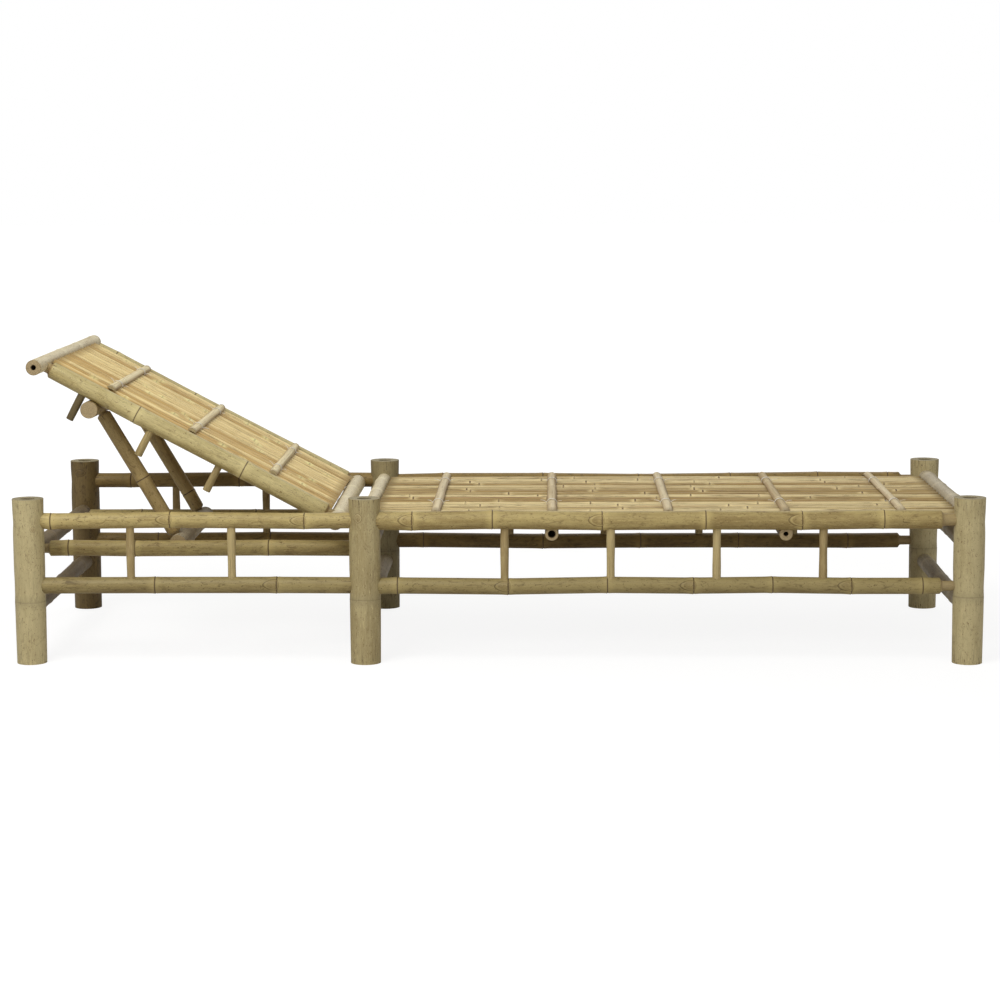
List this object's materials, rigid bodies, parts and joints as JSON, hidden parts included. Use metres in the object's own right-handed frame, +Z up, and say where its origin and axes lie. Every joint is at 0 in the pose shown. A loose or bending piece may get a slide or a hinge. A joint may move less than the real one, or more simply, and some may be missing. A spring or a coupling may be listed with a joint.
{
  "type": "bamboo folding recliner",
  "caption": "Low sun lounger of bamboo culms with a slatted seat and a hinged, slatted backrest held by a swinging prop against pegs.",
  "frame": {"origin": "on the ground below the middle of the frame", "axes": "+X towards the foot end, -Y towards the near side, +Z up"},
  "size_m": [2, 0.716, 0.6318],
  "materials": {
    "leg_culm": "satin green-tan bamboo culm",
    "rail_culm": "satin olive bamboo culm",
    "cross_culm": "satin grey-tan bamboo culm",
    "pale_culm": "satin pale cream bamboo culm",
    "prop_culm": "satin brown-olive bamboo culm",
    "backrest_culm": "satin straw bamboo culm",
    "pin_wood": "dry whittled bamboo",
    "peg_wood": "dry whittled bamboo",
    "spindle_wood": "dry thin bamboo",
    "cane_tie": "dry pale split cane",
    "seat_slat": "weathered split bamboo",
    "backrest_slat": "honey split bamboo",
    "batten": "pale split bamboo"
  },
  "bodies": {
    "frame": {"far_foot_leg": "leg_culm", "far_head_leg": "leg_culm", "far_head_lower_rail": "rail_culm", "far_head_spindles": "spindle_wood", "far_head_upper_rail": "rail_culm", "far_middle_leg": "leg_culm", "far_prop_rail": "rail_culm", "far_seat_lower_rail": "rail_culm", "far_seat_spindles": "spindle_wood", "far_seat_upper_rail": "rail_culm", "foot_bearer": "rail_culm", "foot_lower_cross_rail": "cross_culm", "foot_top_cross_rail": "cross_culm", "foot_upper_cross_rail": "cross_culm", "head_bearer": "rail_culm", "head_lower_cross_rail": "cross_culm", "head_upper_cross_rail": "cross_culm", "hinge_pins": "pin_wood", "middle_lower_cross_rail": "cross_culm", "middle_top_cross_rail": "cross_culm", "middle_upper_cross_rail": "cross_culm", "near_foot_leg": "leg_culm", "near_head_leg": "leg_culm", "near_head_lower_rail": "rail_culm", "near_head_spindles": "spindle_wood", "near_head_upper_rail": "rail_culm", "near_middle_leg": "leg_culm", "near_prop_rail": "rail_culm", "near_seat_lower_rail": "rail_culm", "near_seat_spindles": "spindle_wood", "near_seat_upper_rail": "rail_culm", "prop_pins": "pin_wood", "seat_battens": "batten", "seat_slats": "seat_slat", "seat_ties": "cane_tie", "seat_under_battens": "batten"},
    "backrest": {"backrest_battens": "batten", "backrest_slats": "backrest_slat", "backrest_ties": "cane_tie", "backrest_top_rail": "pale_culm", "backrest_under_battens": "batten", "far_backrest_rail": "backrest_culm", "far_rest_pegs": "peg_wood", "hinge_bar": "pale_culm", "near_backrest_rail": "backrest_culm", "near_rest_pegs": "peg_wood"},
    "prop": {"far_prop_leg": "prop_culm", "near_prop_leg": "prop_culm", "prop_foot_bar": "pale_culm", "prop_top_bar": "prop_culm"}
  },
  "joints": [
    {"name": "backrest_tilt", "type": "hinge", "parent": "frame", "child": "backrest", "pos_m": [-0.335, 0, 0.292], "axis": [0, 1, 0], "range_deg": [0, 104]},
    {"name": "prop_swing", "type": "hinge", "parent": "frame", "child": "prop", "pos_m": [-0.675, 0, 0.231], "axis": [0, 1, 0], "range_deg": [-52, 0]}
  ],
  "couplings": [
    {"joint": "prop_swing", "follows": "backrest_tilt", "ratio": -0.5}
  ]
}
